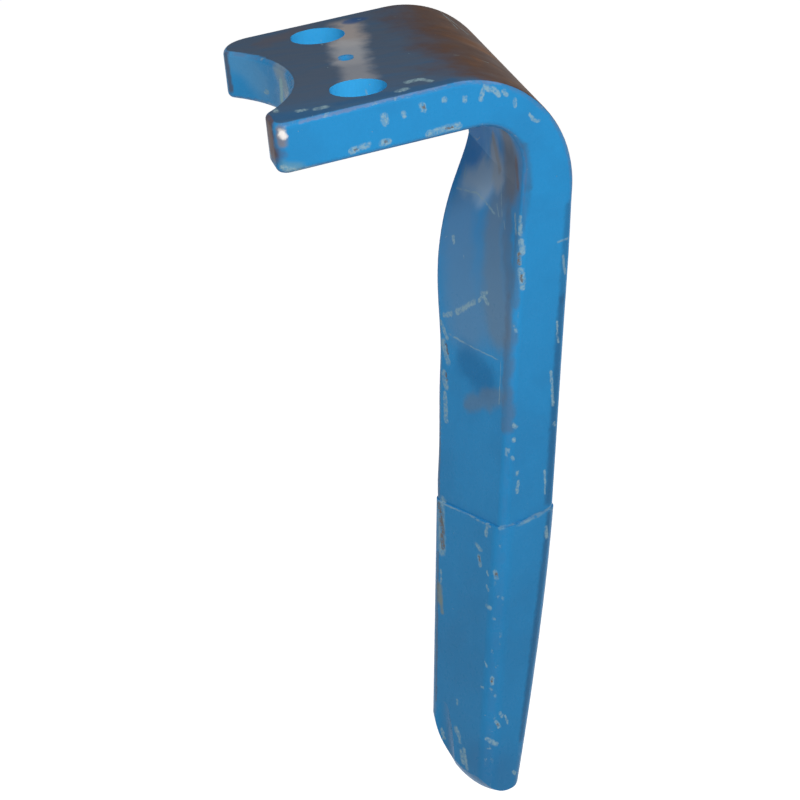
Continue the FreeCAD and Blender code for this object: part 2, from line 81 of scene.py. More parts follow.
lens = bpy.data.cameras.new("photographer")
lens.sensor_width = SENSOR_WIDTH
lens.lens = FOCAL_PIXELS / PHOTO_PIXELS * SENSOR_WIDTH
lens.clip_start = NEAREST_SEEN
camera = bpy.data.objects.new("photographer", lens)
bpy.context.scene.collection.objects.link(camera)
turn = Matrix((right, up, -forward)).transposed().to_4x4()
camera.matrix_world = Matrix.Translation(CAMERA_PLACE) @ turn
bpy.context.scene.camera = camera
print("lens:", round(lens.lens, 1), "mm")

# %% [markdown]
# ## From a place in the photograph to a place on the tine
#
# Chips and scratches sit where they are in the photograph.  Painting them on a
# picture would tie them to one view.  Instead each mark is a place on the
# steel: a ray goes from the camera through the mark's pixel, and where it
# meets the surface is the mark's place, in millimetres.  A mark on the very
# outline may just miss, and then the nearest place on the steel is taken.

# %% Find the steel under a pixel
tine_surface = BVHTree.FromObject(tine, bpy.context.evaluated_depsgraph_get())
MILLIMETRES = 1000.0


def steel_at(across, down):
    """The place on the tine under a pixel of the photograph, in millimetres."""
    middle = PHOTO_PIXELS / 2
    aim = (forward + right * (across - middle) / FOCAL_PIXELS
           - up * (down - middle) / FOCAL_PIXELS).normalized()
    place = tine_surface.ray_cast(CAMERA_PLACE, aim)[0]
    if place is None:
        centre = (cad_low + cad_high) / 2
        beside = CAMERA_PLACE + aim * (centre - CAMERA_PLACE).dot(aim)
        place = tine_surface.find_nearest(beside)[0]
    return place * MILLIMETRES


NEAR_HOLE_PIXEL = (360, 88)
print("under the near hole:", [round(v, 1) for v in steel_at(*NEAR_HOLE_PIXEL)])

# %% [markdown]
# ## Writing nodes like sums
#
# A material is a net of nodes.  Placing dozens of them by hand is slow, so
# this small helper adds a node, sets or links its sockets, and gives back the
# output, and the rest of the lesson reads like arithmetic.  Every length is in
# millimetres, measured on the tine itself, so the pattern stays on the steel
# from whichever side it is seen.

# %% A recipe of nodes
class Recipe:
    """Adds nodes to one tree and gives back their outputs."""

    def __init__(self, tree):
        self.tree = tree

    def node(self, kind, sockets=(), **settings):
        made = self.tree.nodes.new(kind)
        for name, setting in settings.items():
            setattr(made, name, setting)
        for key, given in dict(sockets).items():
            if isinstance(given, bpy.types.NodeSocket):
                self.tree.links.new(given, made.inputs[key])
            else:
                made.inputs[key].default_value = given
        return made

    def sum(self, operation, *terms):
        return self.node("ShaderNodeMath", enumerate(terms),
                         operation=operation).outputs[0]

    def vector(self, operation, *terms):
        made = self.node("ShaderNodeVectorMath", enumerate(terms),
                         operation=operation)
        single = operation in ("DOT_PRODUCT", "LENGTH", "DISTANCE")
        return made.outputs["Value" if single else "Vector"]

    def scaled(self, vector, factor):
        return self.node("ShaderNodeVectorMath", {0: vector, "Scale": factor},
                         operation="SCALE").outputs["Vector"]

    def ease(self, value, low, high):
        """0 up to low, 1 from high on, and a soft step between them."""
        return self.node("ShaderNodeMapRange",
                         {"Value": value, "From Min": low, "From Max": high},
                         interpolation_type="SMOOTHSTEP").outputs[0]

    def range(self, value, low, high):
        """Turns 0 to 1 into low to high."""
        return self.node("ShaderNodeMapRange",
                         {"Value": value, "To Min": low, "To Max": high}).outputs[0]

    def mix(self, share, under, over):
        made = self.node("ShaderNodeMix", data_type="RGBA")
        for socket, given in (("Factor_Float", share), ("A_Color", under),
                              ("B_Color", over)):
            place = next(i for i in made.inputs if i.identifier == socket)
            if isinstance(given, bpy.types.NodeSocket):
                self.tree.links.new(given, place)
            else:
                place.default_value = (
                    given if isinstance(given, (int, float)) else (*given, 1.0))
        return next(o for o in made.outputs if o.identifier == "Result_Color")

    def noise(self, place, grain, detail=2.0, roughness=0.5, stretch=None, shift=0.0):
        """Soft random cloud from 0 to 1, whose lumps are about grain mm wide."""
        if stretch or shift:
            place = self.node("ShaderNodeMapping", {
                "Vector": place, "Location": (shift, shift, shift),
                "Scale": stretch or (1, 1, 1)}).outputs[0]
        return self.node("ShaderNodeTexNoise", {
            "Vector": place, "Scale": 1.0 / grain, "Detail": detail,
            "Roughness": roughness})


enamel = bpy.data.materials.new("worn_blue_enamel")
enamel.use_nodes = True
enamel.node_tree.nodes.clear()
recipe = Recipe(enamel.node_tree)
coordinates = recipe.node("ShaderNodeTexCoord")
place = recipe.scaled(coordinates.outputs["Object"], MILLIMETRES)
facing = recipe.node("ShaderNodeNewGeometry").outputs["Normal"]
split_place = recipe.node("ShaderNodeSeparateXYZ", {0: place}).outputs
split_facing = recipe.node("ShaderNodeSeparateXYZ", {0: facing}).outputs
print("the recipe measures in millimetres from between the two bolt holes")

# %% [markdown]
# ## Ragged edges for every mark
#
# Nothing worn has a smooth outline.  The marks share bent copies of the place:
# one is bent by a fine noise, for chips of a millimetre or two, and one by a
# coarse noise, for patches as wide as a finger, of wear, painted shade and
# painted reflection.  Scratches and thin painted highlights get a third.

# %% Bend the place a little
CHIP_RAG = 1.7
CHIP_GRAIN = 1.6
PATCH_RAG = 7.0
PATCH_GRAIN = 7.0


def ragged(grain, rag, detail):
    """The place, moved about by up to half of rag, in lumps of grain mm."""
    cloud = recipe.noise(place, grain, detail).outputs["Color"]
    centred = recipe.vector("SUBTRACT", cloud, (0.5, 0.5, 0.5))
    return recipe.vector("ADD", place, recipe.scaled(centred, rag))


chip_place = ragged(CHIP_GRAIN, CHIP_RAG, detail=3.0)
patch_place = ragged(PATCH_GRAIN, PATCH_RAG, detail=4.0)
print("chips move by up to", CHIP_RAG / 2, "mm and patches by", PATCH_RAG / 2, "mm")

# %% [markdown]
# ## One stroke, used for every mark
#
# A chip, a scratch, a patch of wear or of painted shade, and a painted
# highlight are all strokes: a line from one place to another with a width.
# The node group below measures how deep inside the stroke a point is, 1 on its
# line and 0 at its rim.  A group is made once and used many times, so a mark
# costs only that group and one maximum.

# %% The stroke group
stroke_tree = bpy.data.node_groups.new("stroke", "ShaderNodeTree")
for name, kind in (("Place", "NodeSocketVector"), ("Start", "NodeSocketVector"),
                   ("End", "NodeSocketVector"), ("Radius", "NodeSocketFloat")):
    stroke_tree.interface.new_socket(name, in_out="INPUT", socket_type=kind)
stroke_tree.interface.new_socket("Inside", in_out="OUTPUT",
                                 socket_type="NodeSocketFloat")
stroke = Recipe(stroke_tree)
given = stroke.node("NodeGroupInput").outputs
from_start = stroke.vector("SUBTRACT", given["Place"], given["Start"])
line = stroke.vector("SUBTRACT", given["End"], given["Start"])
along = stroke.sum("DIVIDE", stroke.vector("DOT_PRODUCT", from_start, line),
                   stroke.vector("DOT_PRODUCT", line, line))
along = stroke.sum("MINIMUM", stroke.sum("MAXIMUM", along, 0.0), 1.0)
off_line = stroke.vector("LENGTH", stroke.vector(
    "SUBTRACT", from_start, stroke.scaled(line, along)))
inside = stroke.sum("SUBTRACT", 1.0, stroke.sum("DIVIDE", off_line, given["Radius"]))
stroke.node("NodeGroupOutput", {"Inside": stroke.sum("MAXIMUM", inside, 0.0)})


def strokes(bent_place, marks):
    """The deepest of several strokes, each given by two pixels and a radius."""
    deepest = None
    for across, down, end_across, end_down, radius in marks:
        group = recipe.node("ShaderNodeGroup")
        group.node_tree = stroke_tree
        recipe.tree.links.new(bent_place, group.inputs["Place"])
        group.inputs["Start"].default_value = steel_at(across, down)
        group.inputs["End"].default_value = steel_at(end_across, end_down)
        group.inputs["Radius"].default_value = radius
        deepest = (group.outputs[0] if deepest is None
                   else recipe.sum("MAXIMUM", deepest, group.outputs[0]))
    return deepest


print("stroke group:", len(stroke_tree.nodes), "nodes")

# %% [markdown]
# ## Painted shade on the seat and the outside of the bend
#
# The flange's top and the outside of the bend get a dark film: painted shade,
# with painted brown and orange reflection in it toward the bend.  That film
# shows wherever the surface looks up or out over the bend, which the facing
# tells.  It stops on the rounded edges and runs out down the leg.  The dimple
# and the hole walls are left out of it and keep their blue.

# %% Masks from the facing and the place
FILM_STARTS = 0.86
FILM_FULL = 0.96
FILM_LOWEST = -62.0
FILM_HIGHEST = -22.0
FILM_GRAIN = 4.0
FACING_RAG = 0.10
HEIGHT_RAG = 30.0
DIMPLE_PIXEL = (346, 59)
DIMPLE_RIM = (2.7, 3.2)

rag = recipe.noise(place, FILM_GRAIN, detail=4.0).outputs["Fac"]
centred_rag = recipe.sum("SUBTRACT", rag, 0.5)
up_part = recipe.sum("MAXIMUM", split_facing["Z"], 0.0)
out_part = recipe.sum("MAXIMUM", split_facing["X"], 0.0)
outward = recipe.sum("SQRT", recipe.sum("ADD", recipe.sum("MULTIPLY", up_part, up_part),
                                        recipe.sum("MULTIPLY", out_part, out_part)))
outward = recipe.sum("ADD", outward, recipe.sum("MULTIPLY", centred_rag, FACING_RAG))
ragged_height = recipe.sum("ADD", split_place["Z"],
                           recipe.sum("MULTIPLY", centred_rag, HEIGHT_RAG))
# The share of painted shade: surfaces that look up or out over the bend, high on the tine.
top_shade_share = recipe.sum("MULTIPLY", recipe.ease(outward, FILM_STARTS, FILM_FULL),
                    recipe.ease(ragged_height, FILM_LOWEST, FILM_HIGHEST))
dimple = steel_at(*DIMPLE_PIXEL)
from_dimple = recipe.vector("DISTANCE", place, dimple)
top_shade_share = recipe.sum("MULTIPLY", top_shade_share, recipe.ease(from_dimple, *DIMPLE_RIM))
print("dimple:", [round(v, 1) for v in dimple])

# %% [markdown]
# ## The enamel's own colour
#
# Sprayed enamel is one blue, yet it is never even: it is thicker in hollows,
# a little duller where hands and soil have rubbed it, and it fades in soft
# clouds.  Two blues are mixed by a broad noise and a finer one, and a third,
# greyer one takes over toward the tip, which works deepest in the soil.  The
# walls of the two bolt holes get a brighter blue, which is painted light.

# %% Clouded blue
ENAMEL_BLUE = (0.022, 0.268, 0.590)
ENAMEL_DEEP = (0.022, 0.214, 0.480)
SOIL_DULLED = (0.021, 0.182, 0.396)
SOIL_STARTS = -70.0
SOIL_FULL = -250.0
SOIL_COVER = (0.35, 0.85)
CLOUD_GRAIN = 26.0
CLOUD_BAND = (0.40, 0.72)
CLOUD_COVER = 0.45
FINE_GRAIN = 3.2
FINE_BAND = (0.35, 0.75)
FINE_COVER = 0.10

cloud = recipe.noise(place, CLOUD_GRAIN, detail=3.0, roughness=0.55).outputs["Fac"]
fine_cloud = recipe.noise(place, FINE_GRAIN, detail=3.0, roughness=0.6).outputs["Fac"]
deep_share = recipe.sum("MULTIPLY", recipe.ease(cloud, *CLOUD_BAND), CLOUD_COVER)
deep_share = recipe.sum("ADD", deep_share, recipe.sum(
    "MULTIPLY", recipe.ease(fine_cloud, *FINE_BAND), FINE_COVER))
blue = recipe.mix(deep_share, ENAMEL_BLUE, ENAMEL_DEEP)
soil_share = recipe.sum("MULTIPLY", recipe.ease(split_place["Z"], SOIL_STARTS, SOIL_FULL),
                        recipe.range(cloud, *SOIL_COVER))
blue = recipe.mix(soil_share, blue, SOIL_DULLED)
print("soil dulls the blue by half at", (SOIL_STARTS + SOIL_FULL) / 2, "mm")

# %% Painted light: a brighter blue in the bolt holes
# The brighter blue on the hole walls is painted light, where they face the light from the
# front.
HOLE_LIT_BLUE = (0.045, 0.410, 0.780)
HOLE_SPACING = 70.0
HOLE_REACH = 11.5
FLANGE_FLOOR = -19.0
FLANGE_FLOOR_FADE = 1.0
HOLE_FADE = 1.0

in_flange = recipe.ease(split_place["Z"], FLANGE_FLOOR - FLANGE_FLOOR_FADE, FLANGE_FLOOR)
level_place = recipe.vector("MULTIPLY", place, (1.0, 1.0, 0.0))
for hole_centre in ((0.0, -HOLE_SPACING / 2, 0.0), (0.0, HOLE_SPACING / 2, 0.0)):
    from_hole = recipe.vector("DISTANCE", level_place, hole_centre)
    in_hole = recipe.ease(from_hole, HOLE_REACH, HOLE_REACH - HOLE_FADE)
    blue = recipe.mix(recipe.sum("MULTIPLY", in_hole, in_flange), blue, HOLE_LIT_BLUE)
print("the holes are", HOLE_SPACING, "mm apart")

# %% [markdown]
# ## The film of painted shade
#
# The film is painted shade: slate grey, bluer toward the near edge, and it
# turns to painted brown reflection toward the bend.  Long streaks run across
# the flange.

# %% Painted shade, bluer toward the near edge
SLATE = (0.068, 0.104, 0.162)
SLATE_BLUE = (0.036, 0.122, 0.245)
STREAK_STRETCH = (0.25, 1.0, 1.0)
STREAK_GRAIN = 7.0
STREAK_BAND = (0.40, 0.80)
STREAK_BLUE = 0.55
NEAR_EDGE_BAND = (-30.0, -56.0)
NEAR_EDGE_RAG = 30.0
NEAR_EDGE_BLUE = 0.85

streaks = recipe.noise(place, STREAK_GRAIN, detail=5.0, roughness=0.6,
                       stretch=STREAK_STRETCH).outputs["Fac"]
near_edge = recipe.ease(recipe.sum("ADD", split_place["Y"], recipe.sum(
    "MULTIPLY", recipe.sum("SUBTRACT", streaks, 0.5), NEAR_EDGE_RAG)), *NEAR_EDGE_BAND)
blue_share = recipe.sum("MAXIMUM", recipe.sum("MULTIPLY", near_edge, NEAR_EDGE_BLUE),
                       recipe.sum("MULTIPLY", recipe.ease(streaks, *STREAK_BAND), STREAK_BLUE))
slate = recipe.mix(blue_share, SLATE, SLATE_BLUE)
print("blue is left toward the near edge, from", NEAR_EDGE_BAND[0], "mm on")

# %% Painted brown reflection toward the bend
# The brown and the orange are painted reflection on the shaded top, strongest toward the bend.
BROWN_REFLECTION = (0.104, 0.055, 0.038)
ORANGE_REFLECTION = (0.230, 0.088, 0.018)
REFLECTION_GRAIN = 12.0
REFLECTION_RAG = 0.9
REFLECTION_REACH = (8.0, 58.0)
REFLECTION_BAND = (0.12, 0.92)
NEAR_EDGE_DELAY = 16.0
ORANGE_BAND = (0.50, 0.72)
ORANGE_REACH = (34.0, 62.0)

reflection_cloud = recipe.noise(place, REFLECTION_GRAIN, detail=5.0, roughness=0.62,
                          shift=31.0).outputs["Fac"]
toward_bend = recipe.ease(recipe.sum("SUBTRACT", split_place["X"], recipe.sum(
    "MULTIPLY", near_edge, NEAR_EDGE_DELAY)), *REFLECTION_REACH)
brown_share = recipe.ease(recipe.sum("ADD", toward_bend, recipe.sum(
    "MULTIPLY", recipe.sum("SUBTRACT", reflection_cloud, 0.5), REFLECTION_RAG)), *REFLECTION_BAND)
shaded_top = recipe.mix(brown_share, slate, BROWN_REFLECTION)
orange_share = recipe.sum("MULTIPLY", recipe.ease(reflection_cloud, *ORANGE_BAND),
                          recipe.ease(split_place["X"], *ORANGE_REACH))
shaded_top = recipe.mix(orange_share, shaded_top, ORANGE_REFLECTION)
print("rust spreads from", REFLECTION_REACH[0], "to", REFLECTION_REACH[1], "mm toward the bend")

# %% [markdown]
# ## Patches of painted shade, painted reflection, painted highlight and wear
#
# Some areas as wide as a finger differ from the rest: a pale painted
# reflection between the bolt holes, grey painted reflection inside the bend,
# deeper blue painted shade under the flange and along rounded edges, and
# painted highlights on the near horn and along edges, beside real dust, rust
# and soil.  Each is one wide stroke with a ragged rim and its own colour, laid
# thinly over what is there.  A wide stroke could run over an edge onto the
# next face, so the patches come in four sets.  Those of the flange's top go on
# the film of painted shade only.  Those inside the bend and those on the near
# side are told apart by the facing.  The last set, on the horns, the edges and
# the blade, is laid over both.  Only then are the film and the enamel joined.

# %% Patches on the flange's top
# These lie on the film of painted shade: the pale and brown ones are painted reflection, and
# the blue ones make the painted shade bluer in places.
TOP_PATCHES = {
    # name: two pixels, radius in mm, colour, how strongly it covers
    "pale_reflection_far": (345, 25, 348, 42, 9.0, (0.420, 0.370, 0.345), 0.80),
    "pale_reflection_middle": (347, 44, 351, 60, 9.5, (0.390, 0.400, 0.425), 0.80),
    "pale_reflection_near": (353, 62, 359, 80, 9.0, (0.300, 0.310, 0.340), 0.75),
    "blue_spot_top": (348, 13, 358, 19, 4.5, (0.008, 0.080, 0.250), 0.80),
    "blue_in_shade_far": (306, 34, 332, 28, 5.0, (0.040, 0.105, 0.200), 0.45),
    "blue_in_shade_near": (275, 118, 322, 112, 6.0, (0.022, 0.110, 0.250), 0.75),
    "blue_in_shade_strip": (340, 104, 450, 82, 4.5, (0.022, 0.105, 0.235), 0.65),
    "brown_reflection_left": (262, 44, 300, 30, 6.0, (0.115, 0.095, 0.105), 0.50),
    "brown_reflection_crest": (475, 45, 525, 85, 12.0, (0.200, 0.075, 0.016), 0.60),
}
print(len(TOP_PATCHES), "patches on the top")

# %% Patches inside the bend
# The grey and pale haze at the bend is painted reflection, and the deep blue under the flange
# is painted shade.  The other patches here are greyer or deeper blues, a pale tan streak and a
# little rust.
INNER_PATCHES = {
    "dull_upper": (462, 207, 468, 320, 19.0, (0.115, 0.245, 0.415), 0.70),
    "grey_low": (496, 210, 500, 330, 12.5, (0.135, 0.215, 0.310), 0.75),
    "bend_reflection": (508, 140, 511, 180, 15.0, (0.125, 0.135, 0.155), 0.85),
    "bend_reflection_left": (474, 170, 488, 182, 12.0, (0.390, 0.500, 0.580), 0.70),
    "bend_reflection_middle": (494, 150, 499, 178, 8.0, (0.340, 0.380, 0.410), 0.75),
    "bend_tan": (493, 136, 500, 170, 2.6, (0.220, 0.225, 0.220), 0.60),
    "bend_rust": (516, 160, 518, 186, 2.6, (0.150, 0.085, 0.070), 0.65),
    "bend_reflection_low": (508, 215, 510, 290, 5.0, (0.105, 0.125, 0.160), 0.50),
    "shaded_blue": (476, 132, 478, 148, 12.0, (0.010, 0.230, 0.560), 0.95),
    "deep_under_scratch": (468, 362, 484, 380, 10.5, (0.006, 0.150, 0.370), 0.75),
    "brown_haze": (470, 403, 500, 395, 5.5, (0.120, 0.180, 0.260), 0.55),
}
print(len(INNER_PATCHES), "patches inside the bend")

# %% Patches on the near side
# All of these are painted shade, a darker blue where the near rim of the bend and the leg's
# outer rounded edge turn away from the light.
NEAR_SIDE_PATCHES = {
    "near_rim_shade_high": (508, 133, 522, 146, 2.6, (0.035, 0.150, 0.310), 0.45),
    "near_rim_shade_middle": (523, 148, 527, 186, 3.2, (0.050, 0.140, 0.270), 0.60),
    "near_rim_shade_low": (527, 188, 520, 228, 2.8, (0.035, 0.150, 0.310), 0.50),
    "outer_edge_shade_high": (569, 205, 562, 300, 2.4, (0.020, 0.130, 0.290), 0.55),
    "outer_edge_shade": (563, 300, 549, 500, 3.2, (0.018, 0.110, 0.250), 0.75),
    "outer_edge_shade_low": (550, 514, 522, 738, 2.6, (0.018, 0.100, 0.220), 0.70),
}
print(len(NEAR_SIDE_PATCHES), "patches on the near side")

# %% Patches on the horns, the leg's edges and the blade
# The bright spot on the near horn and its rim, the pale lines along the near top edge and the
# bend's edge, and the streak in the notch are painted highlights.  The brown on the near
# horn's end is painted shade with a painted brown reflection.
SIDE_PATCHES = {
    "notch_pale": (283, 64, 287, 92, 6.0, (0.270, 0.360, 0.400), 0.75),
    "notch_highlight": (281, 82, 282, 101, 2.4, (0.240, 0.460, 0.480), 0.85),
    "far_face_dust": (238, 60, 262, 84, 9.0, (0.120, 0.320, 0.540), 0.50),
    "far_horn_brown": (226, 54, 231, 90, 1.8, (0.085, 0.060, 0.055), 0.70),
    "horn_end_shade_wide": (268, 120, 271, 146, 7.5, (0.125, 0.068, 0.056), 0.92),
    "horn_end_shade": (270, 124, 275, 154, 5.0, (0.115, 0.062, 0.052), 0.92),
    "horn_low_pale": (284, 166, 300, 168, 3.0, (0.130, 0.300, 0.400), 0.60),
    "near_edge_highlight": (300, 122, 445, 85, 0.95, (0.190, 0.270, 0.470), 0.60),
    "bend_edge_highlight": (455, 82, 500, 83, 1.2, (0.170, 0.300, 0.560), 0.60),
    "horn_highlight_rim": (280, 131, 282, 143, 2.8, (0.230, 0.200, 0.200), 0.80),
    "horn_highlight": (282, 133, 283, 136, 2.0, (0.900, 0.860, 0.830), 1.00),
    "edge_haze": (509, 300, 507, 430, 3.6, (0.095, 0.130, 0.190), 0.50),
    "edge_haze_high": (517, 235, 515, 305, 2.4, (0.070, 0.150, 0.260), 0.55),
    "left_patch": (439, 586, 440, 600, 2.6, (0.190, 0.250, 0.240), 0.85),
    "left_patch_tail": (441, 600, 442, 612, 1.5, (0.190, 0.250, 0.240), 0.75),
    "inner_rim_high": (441, 215, 440, 330, 1.2, (0.110, 0.090, 0.080), 0.55),
    "inner_rim_low": (440, 330, 439, 494, 1.1, (0.110, 0.095, 0.090), 0.45),
    "blade_rim": (438, 552, 436, 700, 1.0, (0.090, 0.080, 0.080), 0.45),
    "soiled_tip": (480, 765, 500, 785, 16.0, (0.030, 0.150, 0.330), 0.40),
}
print(len(SIDE_PATCHES), "patches over both")

# %% Lay the patches
NARROW_PATCH = 3.4
PATCH_BAND = (0.0, 0.75)
NEAR_SIDE_FACING = (-0.62, -0.86)


def lay_patch(under, across, down, end_across, end_down, radius, paint, cover):
    """Lays one ragged patch over the colour so far.  A narrow one bends less."""
    bent = patch_place if radius > NARROW_PATCH else chip_place
    share = recipe.ease(strokes(bent, [(across, down, end_across, end_down, radius)]),
                        *PATCH_BAND)
    return recipe.mix(recipe.sum("MULTIPLY", share, cover), under, paint)


for patch in TOP_PATCHES.values():
    shaded_top = lay_patch(shaded_top, *patch)
inner_blue = near_blue = blue
for patch in INNER_PATCHES.values():
    inner_blue = lay_patch(inner_blue, *patch)
for patch in NEAR_SIDE_PATCHES.values():
    near_blue = lay_patch(near_blue, *patch)
blue = recipe.mix(recipe.ease(split_facing["Y"], *NEAR_SIDE_FACING), inner_blue, near_blue)
for patch in SIDE_PATCHES.values():
    blue = lay_patch(blue, *patch)
colour = recipe.mix(top_shade_share, blue, shaded_top)
print("patches laid, with", len(enamel.node_tree.nodes), "nodes so far")

# %% [markdown]
# ## Chips
#
# Stones knock the enamel off in spots.  A fresh chip shows the pale
# grey-green primer, and the deepest ones have rust in the middle.  Their
# places were read from the photograph: two pixels for the ends of each,
# close together for a round chip, and a radius in millimetres.

# %% Chips on the near side and the top
FLANGE_CHIPS = {
    "under_near_hole": (384, 116, 385, 122, 1.9),
    "right_of_it": (404, 113, 404, 116, 1.2),
    "third_along": (422, 105, 424, 110, 1.5),
    "fourth_along": (445, 99, 445, 100, 1.3),
    "fifth_along": (465, 98, 465, 100, 1.3),
    "ring_left": (481, 99, 483, 90, 1.3),
    "ring_top": (485, 88, 494, 90, 1.5),
    "ring_right": (495, 91, 499, 95, 1.3),
    "right_of_ring": (504, 92, 506, 94, 1.3),
    "bend_spot": (515, 100, 515, 106, 1.0),
    "bend_arc_left": (530, 115, 533, 119, 0.9),
    "bend_arc_low": (533, 120, 539, 121, 0.9),
    "low_first": (352, 151, 357, 149, 1.7),
    "low_second": (362, 147, 368, 145, 1.6),
    "low_third": (382, 143, 389, 141, 1.6),
    "low_scuff_left": (429, 134, 441, 130, 1.6),
    "low_scuff_right": (443, 129, 459, 126, 1.7),
    "horn_top": (266, 113, 276, 112, 1.3),
    "horn_low": (283, 168, 300, 170, 1.8),
    "top_faint": (299, 111, 304, 110, 2.0),
    "top_ring": (317, 109, 325, 107, 2.2),
    "by_near_hole": (399, 91, 405, 89, 2.2),
    "beyond_near_hole": (408, 82, 416, 80, 2.2),
    "far_top": (420, 79, 430, 81, 1.8),
}
flange_chip = strokes(chip_place, FLANGE_CHIPS.values())
print(len(FLANGE_CHIPS), "chips on the flange and the bend")

# %% Chips on the leg
LEG_CHIPS = {
    "inner_spot": (453, 237, 454, 242, 1.2),
    "inner_cross": (479, 300, 487, 292, 1.0),
    "inner_cross_down": (482, 293, 488, 304, 1.0),
    "inner_scuff": (457, 312, 474, 302, 1.4),
    "inner_scuff_left": (444, 315, 451, 314, 1.3),
    "left_edge_top": (441, 322, 447, 338, 1.2),
    "left_edge_second": (443, 342, 448, 362, 2.0),
    "left_edge_third": (444, 373, 446, 386, 2.0),
    "left_edge_fourth": (445, 394, 446, 420, 1.7),
    "near_edge_pale": (515, 214, 516, 233, 1.1),
    "near_edge_second": (520, 217, 520, 234, 1.2),
    "near_edge_third": (521, 241, 523, 252, 1.6),
    "near_edge_dark": (519, 254, 520, 263, 1.1),
    "near_edge_fourth": (521, 271, 523, 287, 1.6),
    "strip_edge_top": (557, 322, 558, 342, 0.7),
    "strip_edge_low": (551, 372, 553, 405, 0.9),
    "strip_edge_dot": (554, 423, 555, 425, 0.9),
    "strip_edge_last": (545, 470, 545, 494, 0.6),
    "strip_dot_a": (514, 425, 516, 427, 1.1),
    "strip_dot_b": (514, 439, 514, 441, 1.0),
    "strip_dot_c": (512, 457, 513, 459, 0.8),
    "strip_dot_d": (517, 472, 517, 475, 0.9),
    "strip_dot_e": (518, 482, 517, 492, 1.1),
}
leg_chip = strokes(chip_place, LEG_CHIPS.values())
print(len(LEG_CHIPS), "chips on the leg")

# %% Chips on the blade
BLADE_CHIPS = {
    "blade_chip_top": (487, 525, 486, 535, 1.2),
    "blade_chip_b": (476, 544, 481, 550, 1.1),
    "blade_chip_c": (479, 556, 480, 564, 1.4),
    "blade_chip_d": (487, 572, 488, 575, 0.8),
    "blade_chip_e": (495, 572, 497, 578, 1.2),
    "blade_chip_f": (487, 586, 488, 590, 0.8),
    "blade_chip_g": (487, 606, 490, 608, 1.2),
    "blade_near_a": (546, 527, 547, 538, 1.1),
    "gouge_rim": (441, 502, 442, 550, 3.0),
    "left_thin": (441, 570, 441, 581, 0.8),
    "low_a": (485, 662, 487, 666, 0.7),
    "low_b": (492, 678, 492, 684, 1.0),
    "low_c": (481, 687, 483, 688, 0.7),
    "low_d": (457, 700, 457, 704, 0.7),
    "low_e": (496, 722, 499, 727, 1.0),
    "low_f": (505, 716, 508, 723, 0.6),
    "low_g": (487, 739, 496, 744, 1.3),
    "low_h": (458, 731, 460, 742, 1.1),
    "low_i": (442, 730, 444, 738, 1.1),
    "low_j": (464, 750, 467, 768, 1.3),
    "low_k": (513, 771, 515, 774, 0.8),
    "low_l": (500, 713, 502, 716, 0.9),
    "low_m": (461, 752, 463, 762, 1.4),
    "low_n": (456, 729, 459, 735, 1.6),
}
blade_chip = strokes(chip_place, BLADE_CHIPS.values())
print(len(BLADE_CHIPS), "chips on the blade")

# %% [markdown]
# ## Scratches and thin painted highlights
#
# Stones also drag along the steel and leave thin pale lines.  A few thin pale
# lines are painted highlights instead: specks in the two bolt holes, two lines
# along the flange's far edge near the bend, and the ledge's rim, which is
# partly chipped and partly a painted highlight.  They are the same strokes,
# only narrow, so they use their own gently bent place, and a noise breaks them
# up, as a skipping stone would.

# %% Scratches and painted highlights
# Most of these are scratches; the specks in the bolt holes and the two lines along the far
# edge are painted highlights, and the lines along the ledge are partly chipped paint and
# partly painted highlight.
SCRATCHES_AND_GLINTS = {
    "bend_inside_a": (457, 188, 477, 193, 0.55),
    "bend_inside_b": (477, 193, 484, 200, 0.55),
    "bend_inside_c": (484, 200, 495, 214, 0.60),
    "upright_a": (497, 204, 499, 217, 0.45),
    "upright_b": (501, 182, 502, 216, 0.40),
    "upright_c": (504, 221, 505, 229, 0.45),
    "upright_left": (466, 165, 464, 178, 0.50),
    "squiggle_a": (474, 137, 477, 140, 0.45),
    "squiggle_b": (477, 140, 480, 137, 0.45),
    "inner_long_a": (449, 334, 466, 344, 0.55),
    "inner_long_b": (466, 344, 484, 353, 0.34),
    "inner_long_c": (484, 353, 501, 361, 0.34),
    "inner_drop": (501, 361, 499, 404, 0.28),
    "far_hole_glint": (321, 41, 322, 45, 0.60),
    "near_hole_glint": (366, 90, 367, 94, 0.60),
    "strip_scuff_high": (558, 242, 568, 238, 0.60),
    "strip_scuff": (563, 256, 565, 273, 0.80),
    "far_edge_glint_a": (447, 17, 472, 29, 0.60),
    "far_edge_glint_b": (440, 11, 462, 21, 0.45),
    "bend_top_c": (454, 55, 489, 63, 0.50),
    "ledge_chip_and_glint_far": (440, 502, 470, 515, 0.55),
    "ledge_chip_and_glint_corner": (470, 515, 490, 527, 0.60),
    "ledge_chip_and_glint_near": (500, 528, 522, 523, 1.20),
    "ledge_chip_and_glint_end": (522, 523, 551, 508, 1.10),
}
print(len(SCRATCHES_AND_GLINTS), "scratches to lay")

# %% Lay the scratches and painted highlights
SCRATCH_AND_GLINT_GRAIN = 2.6
SCRATCH_AND_GLINT_RAG = 0.9
SCRATCH_AND_GLINT_BAND = (0.0, 0.7)
SKIP_GRAIN = 3.4
SKIP_BAND = (0.30, 0.58)

scratch_and_glint_place = ragged(SCRATCH_AND_GLINT_GRAIN, SCRATCH_AND_GLINT_RAG, detail=2.0)
scratch_and_glint = recipe.ease(strokes(scratch_and_glint_place, SCRATCHES_AND_GLINTS.values()), *SCRATCH_AND_GLINT_BAND)
skips = recipe.noise(place, SKIP_GRAIN, detail=3.0, roughness=0.6,
                     shift=41.0).outputs["Fac"]
scratch_and_glint = recipe.sum("MULTIPLY", scratch_and_glint, recipe.ease(skips, *SKIP_BAND))
print("scratches laid")

